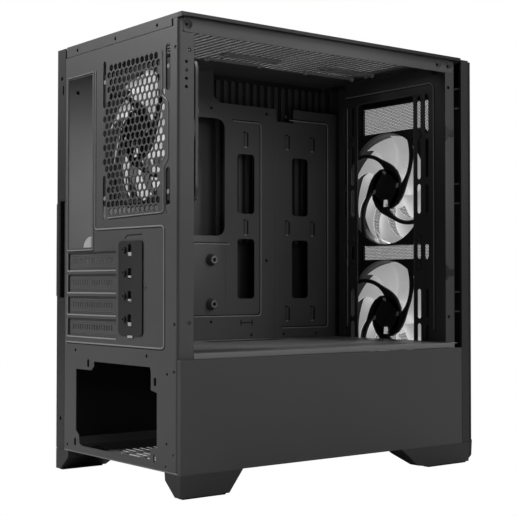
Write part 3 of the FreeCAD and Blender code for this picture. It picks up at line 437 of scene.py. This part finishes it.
def rear_details():
    """Stamped fields, the port's rim and tab, the slot frames and the screw plate's tabs, with painted
    highlights along the beads and rims and painted shade lines beside them.
    """
    beads("rear_field_bead", "rear", 0, [
        [(136.8, 351.8), (136.8, 206.0), (24.0, 205.2), (20.8, 203.0), (20.5, 104.0), (24.4, 102.2),
         (190.5, 102.2)],
    ], "chassis")
    beads("rear_fan_bead", "rear", 0, [
        [(24.7, 353.2), (24.2, 315.2), (15.0, 309.4), (15.0, 261.0), (21.9, 255.9), (21.8, 216.6),
         (113.7, 215.5)],
    ], "chassis", width=1.0)
    left, low, right, high = PORT
    rim = box_outline(left - 2.2, low - 2.2, right + 2.2, high + 2.2)
    beads("port_rim", "rear", 0, [rim], "chassis", width=1.0, corner=1.5, closed=True)
    # Painted highlights along the slot frames' lower and right edges.
    lower = [[(SLOT_LEFT, middle - 8.8), (SLOT_RIGHT, middle - 8.8), (SLOT_RIGHT, middle + 8.0)]
             for middle in SLOT_MIDDLES]
    beads("slot_rims", "rear", 0, lower, "chassis", width=1.5, height=0.6, corner=1, shade=None)
    # Painted shade lines along the slot frames' upper edges.
    upper = [[(SLOT_LEFT, middle + 8.3), (186.6, middle + 8.3), (186.6, middle - 7.5)]
             for middle in SLOT_MIDDLES]
    beads("slot_rim_painted_shade", "rear", 0, upper, "chassis", width=1.0, height=SHADE_LINE_HEIGHT, corner=1,
          material=PAINTED_SHADE, shade=None)
    ribs = [[(100.5, middle + side * 5.3), (185.5, middle + side * 5.3)]
            for middle in SLOT_MIDDLES for side in (-1, 1)]
    beads("slot_cover_ribs", "rear", -1.2, ribs, "chassis", width=0.9, height=0.4, material=STEEL, shade=None)
    # Painted shade line along the screw plate's rim.
    beads("plate_rim_painted_shade", "rear", 0, [[(83.5, 196.4), (80.6, 199.0), (56.0, 199.2)]], "chassis", width=1.2,
          material=PAINTED_SHADE, shade=None)
    corner = (144.0, low)
    tab = [(corner[0] + 14 * math.sin(turn), corner[1] + 10 * math.cos(turn))
           for turn in (math.radians(15 * i) for i in range(7))]
    slabs("port_tab", "rear", -0.9, [tab + [corner]], 0.8, "chassis", TAB, bevel=0.15)
    windows = [box_outline(69.0, middle - 6.8, 77.5, middle + 6.8)
               for middle in (SLOT_MIDDLES[0], SLOT_MIDDLES[3])]
    windows += [box_outline(69.0, middle - 6.8, 71.5, middle + 6.8) for middle in SLOT_MIDDLES[1:3]]
    windows += [box_outline(71.5, middle + 4.8, 78.0, middle + 6.8) for middle in SLOT_MIDDLES[1:3]]
    slabs("plate_window_tabs", "rear", 0.5, windows, 0.6, "chassis", TAB, bevel=0.1)


TRAY_FACE = 190.7
BOSS_HEIGHT = 6.35


def tray_details():
    """Stamped fields, cable tie bridges and boss collars on the motherboard tray, with painted highlights on
    the beads, the bridges' feet and the collars, and painted shade beside the beads, in the bridges' slots
    and on the key mark.
    """
    beads("tray_bead", "window", TRAY_FACE, [
        [(-194.2, 328.0), (-231.3, 328.0), (-231.3, 122.8), (-145.0, 122.8)],
        [(-145.0, 198.0), (-190.0, 198.0)],
        [(-270.0, 335.0), (-325.0, 335.0), (-325.0, 109.0), (-259.7, 109.0)],
    ], "chassis", width=1.2, shade=(1.3, 1.1))
    bends = [[(-251.0, 101.0), (-251.0, 344.0)], [(-186.0, 190.0), (-186.0, 130.0)]]
    beads("tray_bend", "window", TRAY_FACE, bends, "chassis", width=1.6, height=0.3, material=STEEL,
          shade=None)
    hooks = [(-211.2, 302.0, 316.4), (-211.2, 209.1, 223.6)]
    hooks += [(along, low, low + 14.0) for along in (-267.5, -302.7) for low in (303.3, 210.2, 117.2)]
    straps = [box_outline(along - 1.0, low, along + 2.6, high) for along, low, high in hooks]
    slabs("tie_bridges", "window", TRAY_FACE, straps, 0.9, "chassis", STEEL, bevel=0.4)
    # Painted shade: near-black slabs in the bridges' slots.
    slots = [box_outline(along - 3.4, low, along - 1.1, high) for along, low, high in hooks]
    slots += [box_outline(along - 1.1, high, along + 3.4, high + 1.2) for along, low, high in hooks]
    slabs("tie_bridge_slot_shade", "window", TRAY_FACE, slots, 0.15, "chassis", PAINTED_SHADE, bevel=0)
    # Painted highlight along the bridges' feet.
    feet = [box_outline(along - 1.0, low - 1.4, along + 2.2, low + 0.2) for along, low, high in hooks]
    slabs("tie_bridge_feet", "window", TRAY_FACE, feet, 0.5, "chassis", PAINTED_HIGHLIGHT, bevel=0.2)
    rims = [ring_points(along, up, 3.1) for along in (-11.5, -166.44) for up in (181.42, 135.7)]
    beads("boss_collars", "window", TRAY_FACE - BOSS_HEIGHT, rims, "chassis", width=1.0, height=0.3, corner=0,
          closed=True, shade=None)
    # Painted shade on the key mark.
    mark = [box_outline(-220.2, 112.7, -218.9, 118.8), box_outline(-205.7, 112.7, -204.4, 118.8),
            box_outline(-218.9, 115.2, -205.7, 116.3)]
    slabs("tray_key", "window", TRAY_FACE, mark, 0.2, "chassis", PAINTED_SHADE, bevel=0)


SIDE_PANEL_INSIDE = 208.5
RIB_COUNT, RIB_PITCH, FIRST_RIB = 16, 9.7, -186.6


def side_panel_details():
    """Pressed stiffening ribs inside the closed side panel."""
    def build(shape):
        for index in range(RIB_COUNT):
            along = FIRST_RIB - RIB_PITCH * index
            outline = rounded_path(box_outline(along - 2.6, 200.0, along + 2.6, 373.0), 2.4, closed=True)
            points = [on("window", SIDE_PANEL_INSIDE, u, v) for u, v in outline]
            height = on("window", SIDE_PANEL_INSIDE, 0, 0, 1.8) - on("window", SIDE_PANEL_INSIDE, 0, 0)
            add_prism(shape, points, height, 0.6)
    make_piece("side_panel_ribs", mesh_from(build, "side_panel_ribs"), STEEL, "side_panel")


DECK_UNDERSIDE = 377.6
RAIL_WIDTH, RAIL_LENGTH, RAIL_HEIGHT = 3.4, 70.0, 2.4


def top_details():
    """Fan rails with their screws under the vents."""
    rails, screws = [], []
    for front in (-188.0, -312.0):
        for across in (99.0, 107.5, 131.0):
            rails.append(box_outline(across, front, across + RAIL_WIDTH, front + RAIL_LENGTH))
            screws += [ring_points(across + RAIL_WIDTH / 2, end, 2.2, 16)
                       for end in (front + 3, front + RAIL_LENGTH - 3)]
    # Painted light: the rails take the powder coat made three times as light.
    slabs("fan_rails", "under", DECK_UNDERSIDE, rails, RAIL_HEIGHT, "chassis", COAT_PAINTED_LIGHT,
          bevel=0.5)
    slabs("fan_rail_screws", "under", DECK_UNDERSIDE - RAIL_HEIGHT, screws, 1.4, "chassis", BRIGHT,
          bevel=0.3)


LATCH_MIDDLES = (342.2, 246.9, 138.9)
LATCH_HALF = 9.7


def front_wall_details():
    """The bead and lip round the front wall's opening, and the bezel's latches in the channel; the bead has a
    painted highlight and a painted shade line.
    """
    beads("front_wall_bead", "inward", -332.4, [
        [(168.0, 362.0), (37.7, 362.0), (33.4, 357.9), (33.4, 110.0)],
        [(165.5, 350.0), (165.5, 110.0)],
    ], "chassis", width=1.4, height=0.5)
    lip = rounded_path(box_outline(62, 64, 149.5, 353), 5, closed=True)

    def build(shape):
        add_ridge(shape, "inward", -333.0, [Vector(p) for p in lip], 1.6, 1.0, closed=True)
    make_piece("front_opening_lip", mesh_from(build, "front_opening_lip"), STEEL, "chassis")
    latches = [box_outline(1.5, middle - LATCH_HALF, 9.5, middle + LATCH_HALF) for middle in LATCH_MIDDLES]
    slabs("bezel_latches", "inward", -343.8, latches, 7.0, "front_panel", PLASTIC, bevel=0.6)
    tips = [box_outline(2.0, middle + end * LATCH_HALF - 0.8, 7.5, middle + end * LATCH_HALF + 0.8)
            for middle in LATCH_MIDDLES for end in (-1, 1)]
    slabs("bezel_latch_tips", "inward", -338.5, tips, 3.2, "front_panel", TAB, bevel=0.2)


def bezel_skirt():
    """The bezel's lower ends, which run down in front of the front feet."""
    def build(shape):
        for start, end in ((-4.2, 40.0), (165.6, 209.8)):
            outline = [at(start, -342.6, 2.0), at(start, -347.5, 2.0), at(start, -346.5, -13.5),
                       at(start, -342.6, -16.5)]
            add_prism(shape, outline, Vector((end - start, 0, 0)) * MM, 0.5)
    make_piece("bezel_skirt", mesh_from(build, "bezel_skirt"), BEZEL, "front_panel")


# ---------------------------------------------------------------- meshes

def clip_line(point, direction, low, high):
    """The part of a line inside a rectangle, or None."""
    start, end = -1e9, 1e9
    for axis in (0, 1):
        if abs(direction[axis]) < 1e-9:
            continue
        a, b = ((edge - point[axis]) / direction[axis] for edge in (low[axis], high[axis]))
        start, end = max(start, min(a, b)), min(end, max(a, b))
    return (point + direction * start, point + direction * end) if end - start > 0.5 else None


def front_grille():
    """Fine diamond-perforated sheet: two layers of slanting strands."""
    low, high = Vector((26.0, 26.5)), Vector((178.0, 354.5))
    pitch, strand, layer_depth, face = 1.7, 0.31, 0.3, -366.6       # strand is half of a strand's width

    def build(shape):
        for layer, slant in enumerate((58, -58)):
            along = Vector((math.cos(math.radians(slant)), math.sin(math.radians(slant))))
            side = Vector((-along.y, along.x))
            middle, reach = (low + high) / 2, (high - low).length / 2
            for step in range(-int(reach / pitch), int(reach / pitch) + 1):
                ends = clip_line(middle + side * (step * pitch), along, low, high)
                if ends:
                    outline = [ends[0] - side * strand, ends[1] - side * strand,
                               ends[1] + side * strand, ends[0] + side * strand]
                    points = [on("inward", face - layer_depth * layer, p.x, p.y) for p in outline]
                    add_prism(shape, points, Vector((0, -layer_depth, 0)) * MM)
    piece = make_piece("front_grille", mesh_from(build, "front_grille"), MESH_STEEL, "front_panel",
                       smooth=False)
    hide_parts("front_mesh")


def filter_weave():
    """The filter's threads, in metres: fine flat strands, one layer across and one along."""
    low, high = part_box("top_filter_mesh")
    middle = (low.z + high.z) / 2
    pitch, thread, half = 0.0011, 0.00030, 0.00001      # thread and half: half of a thread's width and depth

    def build(shape):
        for axis, other in ((0, 1), (1, 0)):
            place = low[axis] + pitch / 2
            while place < high[axis]:
                start, end = [0.0, 0.0], [0.0, 0.0]
                start[axis], end[axis] = place - thread, place + thread
                start[other], end[other] = low[other], high[other]
                base = middle + (half if axis else -half) - half
                corners = [Vector((x, y, base)) for x, y in box_outline(*start, *end)]
                add_prism(shape, corners, Vector((0, 0, 2 * half)))
                place += pitch
    data, shape = bpy.data.meshes.new("filter_weave"), bmesh.new()
    build(shape)
    bmesh.ops.recalc_face_normals(shape, faces=shape.faces)
    shape.to_mesh(data)
    shape.free()
    piece = make_piece("filter_weave", data, WEAVE, "top_filter", smooth=False)
    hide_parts("top_filter_mesh")


# ---------------------------------------------------------------- fans

BLADES = 9
HUB, BORE, HALF = 20.0, 58.5, 60.0      # radius of the hub and the duct, and half of the frame's side
DEPTH, FLANGE = 25.0, 4.0
PLATE_FACE = 24.4                       # how deep the motor's plate and the arms reach
FANS = {"rear_fan": "rear_fan_rotor", "front_fan_upper": "front_fan_upper_rotor",
        "front_fan_lower": "front_fan_lower_rotor"}


def polar(radius, degrees, depth):
    """A point round the fan's axis; depth runs with the air flow, from inlet to outlet."""
    angle = math.radians(degrees)
    return Vector((-radius * math.cos(angle), depth, radius * math.sin(angle))) * MM


def square_radius(degrees, half, corner):
    """Distance from the axis to a rounded square."""
    angle = math.radians(degrees)
    c, s = abs(math.cos(angle)), abs(math.sin(angle))
    reach = half / max(c, s)
    flat = half - corner
    x, y = c * reach, s * reach
    if x > flat and y > flat:
        b = flat * (c + s)
        reach = b + math.sqrt(max(0.0, b * b - 2 * flat * flat + corner * corner))
    return reach


def add_band(shape, loops, capped=False):
    """Faces between successive closed loops, then either capped ends or the last joined to the first."""
    rings = [[shape.verts.new(p) for p in loop] for loop in loops]
    if capped:
        shape.faces.new(rings[0])
        shape.faces.new(rings[-1])
    for first, second in zip(rings, rings[1:] + ([] if capped else rings[:1])):
        for i in range(len(first)):
            j = (i + 1) % len(first)
            shape.faces.new((first[i], first[j], second[j], second[i]))


def frame_mesh():
    """The fan's body: two square flanges, a round duct, four curved arms and the motor's plate."""
    steps = [i * 3.75 for i in range(96)]

    def build(shape):
        for start, end in ((0.0, FLANGE), (DEPTH - FLANGE, DEPTH)):
            loops = []
            for depth, inset in ((start, 0.6), (start + 0.6, 0.0), (end - 0.6, 0.0), (end, 0.6)):
                loops.append([polar(square_radius(a, HALF - inset, 6 - inset), a, depth) for a in steps])
            for depth in (end, start):
                loops.append([polar(BORE + (0.8 if depth in (0.0, DEPTH) else 0), a, depth) for a in steps])
            add_band(shape, loops)
        add_band(shape, [[polar(radius, a, depth) for a in steps]
                         for radius, depth in ((BORE, 3), (BORE, 22), (BORE + 1.4, 22), (BORE + 1.4, 3))])
        for arm in range(4):
            add_arm(shape, 90 * arm)
        plate = [(20.9, 21.2), (20.9, 23.8), (20.2, PLATE_FACE), (14.0, PLATE_FACE), (13.6, 24.2)]
        add_band(shape, [[polar(radius, a, depth) for a in steps] for radius, depth in plate], capped=True)
    return mesh_from(build, "fan_frame")


def arm_edges(radius):
    """Angles of an arm's two edges: a spiral inside, and outside it a flare that wraps the plate."""
    inner = 8 + 1.27 * (radius - 20.3)
    return inner - 7.5 - min(80, 142 * math.exp((21 - radius) / 3.2)), inner


def arm_radii(start, end, steps=22):
    """Stations along an arm, closer together near the plate."""
    return [start + (end - start) * (i / steps) ** 1.5 for i in range(steps + 1)]


def sweep(shape, sections):
    """A closed solid through a row of sections."""
    rings = [[shape.verts.new(p) for p in section] for section in sections]
    for first, second in zip(rings, rings[1:]):
        for i in range(len(first)):
            j = (i + 1) % len(first)
            shape.faces.new((first[i], first[j], second[j], second[i]))
    shape.faces.new(rings[0])
    shape.faces.new(rings[-1])


def add_arm(shape, turn):
    """One arm, swept from the plate to the duct."""
    sections = []
    for radius in arm_radii(20.2, BORE + 0.8):
        outer, inner = arm_edges(radius)
        chamfer = math.degrees(0.5 / radius)
        profile = ((outer, 22.0), (outer, 23.8), (outer + chamfer, PLATE_FACE), (inner - chamfer, PLATE_FACE),
                   (inner, 23.8), (inner, 22.0))
        sections.append([polar(radius, turn + angle, depth) for angle, depth in profile])
    sweep(shape, sections)


def add_arm_rail(shape, centre, turn):
    """The thin raised rail along an arm's inner edge."""
    sections = []
    for radius in arm_radii(22, 52):
        inner = arm_edges(radius)[1]
        near, far = inner - math.degrees(1.0 / radius), inner - math.degrees(1.7 / radius)
        sections.append([centre + polar(radius, turn + angle, depth)
                         for angle, depth in ((near, 24.3), (near, 24.9), (far, 24.9), (far, 24.3))])
    sweep(shape, sections)


def impeller_mesh():
    """A domed hub cup with nine swept, cambered blades."""
    steps = [i * 5 for i in range(72)]

    def build(shape):
        cup = [(3.0, 3.2), (16.5, 3.2), (19.0, 4.0), (HUB, 6.0),
               (HUB, 20.5), (18.5, 20.5), (18.5, 5.4), (3.0, 4.8)]
        add_band(shape, [[polar(radius, a, depth) for a in steps] for radius, depth in cup], capped=True)
        for blade in range(BLADES):
            add_blade(shape, 360 * blade / BLADES)
    return mesh_from(build, "fan_impeller")


def add_blade(shape, turn):
    """One blade: a cambered skin on each side, closed round its rim. Chord and lean are in degrees."""
    spans, chords = 10, 8
    root, tip, half_thickness = HUB - 0.8, 57.0, 0.6
    grid = []
    for i in range(spans + 1):
        share = i / spans
        radius = root + (tip - root) * share
        chord = 43 + 4 * share
        lean = 26 * share * share
        row = []
        for j in range(chords + 1):
            across = j / chords - 0.5
            camber = (0.25 - across * across) * (5.5 - 3.0 * share)
            depth = 12.0 + across * (14.5 - 3.5 * share) - camber
            row.append((radius, turn + lean + chord * across, depth))
        grid.append(row)
    sides = [[[shape.verts.new(polar(radius, angle, depth + lift)) for radius, angle, depth in row]
              for row in grid] for lift in (-half_thickness, half_thickness)]
    for i in range(spans):
        for j in range(chords):
            for side, order in zip(sides, (1, -1)):
                quad = (side[i][j], side[i + 1][j], side[i + 1][j + 1], side[i][j + 1])
                shape.faces.new(quad[::order])
    rim = [(i, 0) for i in range(spans)] + [(spans, j) for j in range(chords)]
    rim += [(i, chords) for i in range(spans, 0, -1)] + [(0, j) for j in range(chords, 0, -1)]
    for first, second in zip(rim, rim[1:] + rim[:1]):
        a, b = (sides[0][first[0]][first[1]], sides[0][second[0]][second[1]])
        c, d = (sides[1][second[0]][second[1]], sides[1][first[0]][first[1]])
        shape.faces.new((a, b, c, d))


def fans():
    """The three fans: each frame rides on the chassis, each impeller on its rotor."""
    frame_shape, wheel_shape = frame_mesh(), impeller_mesh()
    for name, rotor in FANS.items():
        low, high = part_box(f"{name}_frame")
        centre = Vector(((low.x + high.x) / 2, low.y, (low.z + high.z) / 2))
        for kind, source, body, material, slot in (
                ("frame", frame_shape, "chassis", PLASTIC, "fan_frame_plastic"),
                ("impeller", wheel_shape, rotor, BLADE_PLASTIC_PAINTED_GLOW, "fan_blade_plastic")):
            data = source.copy()
            data.transform(Matrix.Translation(centre))
            piece = make_piece(f"{name}_{kind}_shape", data, material, body)
            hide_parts(f"{name}_{kind}")
        add_fan_fittings(name, centre)


def add_fan_fittings(name, centre):
    """The connector on the motor's plate, bright notches at the arms' roots and a rail along each arm."""
    def connector(shape):
        outline = [centre + polar(radius, degrees, PLATE_FACE)
                   for radius, degrees in ((12.0, -102), (12.0, -78), (19.5, -80), (19.5, -100))]
        add_prism(shape, outline, Vector((0, 0.6, 0)) * MM, 0.15)

    def notches(shape):
        for turn in (96, 6, 186, 276):
            outline = [centre + polar(radius, turn + degrees, PLATE_FACE)
                       for radius, degrees in ((15.5, -4), (17.0, 8), (20.0, 9), (19.2, -3), (17.2, -6))]
            add_prism(shape, outline, Vector((0, 0.6, 0)) * MM, 0.1)

    def rails(shape):
        for turn in (0, 90, 180, 270):
            add_arm_rail(shape, centre, turn)
    for part, build, material, slot in (("arm_rails", rails, STEEL, "fan_frame_plastic"),
                                        ("connector", connector, BLADE_PLASTIC_PAINTED_GLOW, "clear_plastic"),
                                        ("notches", notches, TAB, "clear_plastic")):
        piece = f"{name}_{part}"
        make_piece(piece, mesh_from(build, piece), material, "chassis")


add_camera()
add_studio()
add_floor()
finish_cad_nodes()
rear_details()
tray_details()
side_panel_details()
top_details()
front_wall_details()
bezel_skirt()
front_grille()
filter_weave()
fans()
